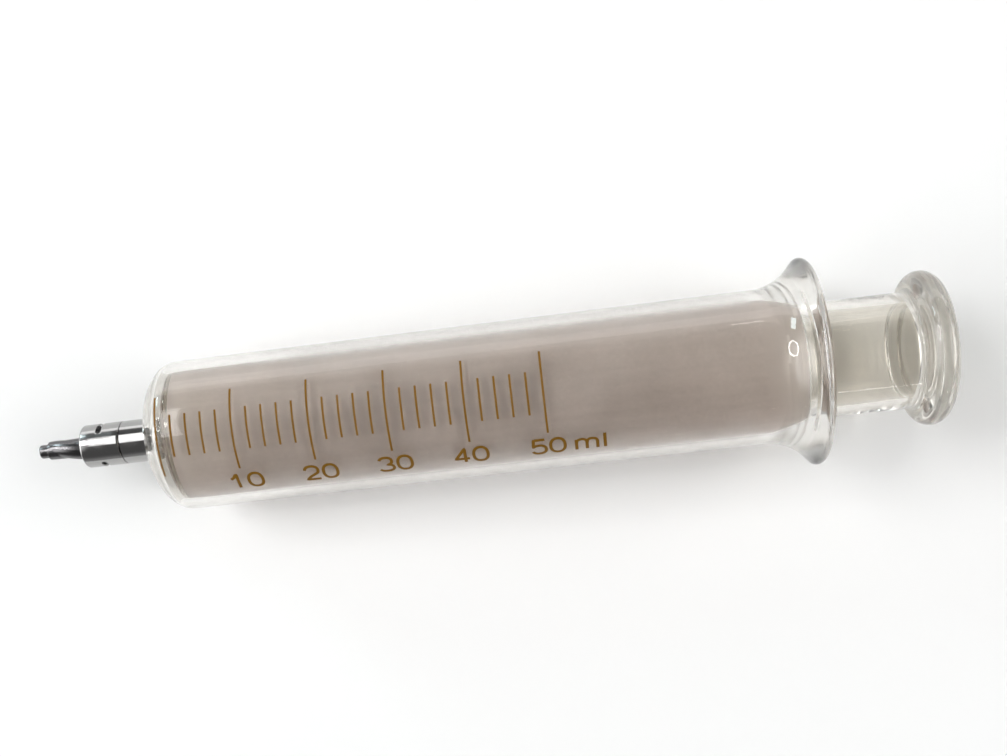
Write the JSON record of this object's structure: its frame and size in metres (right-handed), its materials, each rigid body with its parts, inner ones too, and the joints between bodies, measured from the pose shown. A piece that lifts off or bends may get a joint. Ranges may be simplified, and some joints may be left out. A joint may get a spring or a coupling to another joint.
{
  "type": "glass syringe",
  "caption": "All-glass syringe with a ground hollow plunger, flared finger flange, round thumb knob, fired amber scale and a metal nozzle with a turning locking collar.",
  "frame": {"origin": "on the syringe's axis, at the front end of the nozzle", "axes": "+X along the axis from the nozzle to the thumb knob; +Z out through the middle of the scale; +Y square to both"},
  "size_m": [0.1945, 0.0432, 0.0432],
  "materials": {
    "clear_glass": "polished",
    "ground_glass": "ground matt on the sliding length, polished on the neck and knob",
    "plated_ferrule": "polished",
    "plated_nozzle": "polished",
    "plated_collar": "polished",
    "steel_pin": "satin",
    "cement": "matt",
    "amber_enamel": "fired enamel, gloss"
  },
  "bodies": {
    "barrel": {"barrel": "clear_glass", "ferrule": "plated_ferrule", "ferrule_cement": "cement", "nozzle": "plated_nozzle", "upper_guide_pin": "steel_pin", "lower_guide_pin": "steel_pin", "short_marks": "amber_enamel", "long_marks": "amber_enamel"},
    "plunger": {"plunger": "ground_glass"},
    "locking_collar": {"locking_collar": "plated_collar"}
  },
  "joints": [
    {"name": "plunger_slide", "type": "slide", "parent": "barrel", "child": "plunger", "axis": [1, 0, 0], "range_m": [-0.00145, 0.0785]},
    {"name": "collar_turn", "type": "hinge", "parent": "barrel", "child": "locking_collar", "pos_m": [0.01495, 0, 0], "axis": [1, 0, 0], "range_deg": [-37, 37]}
  ]
}
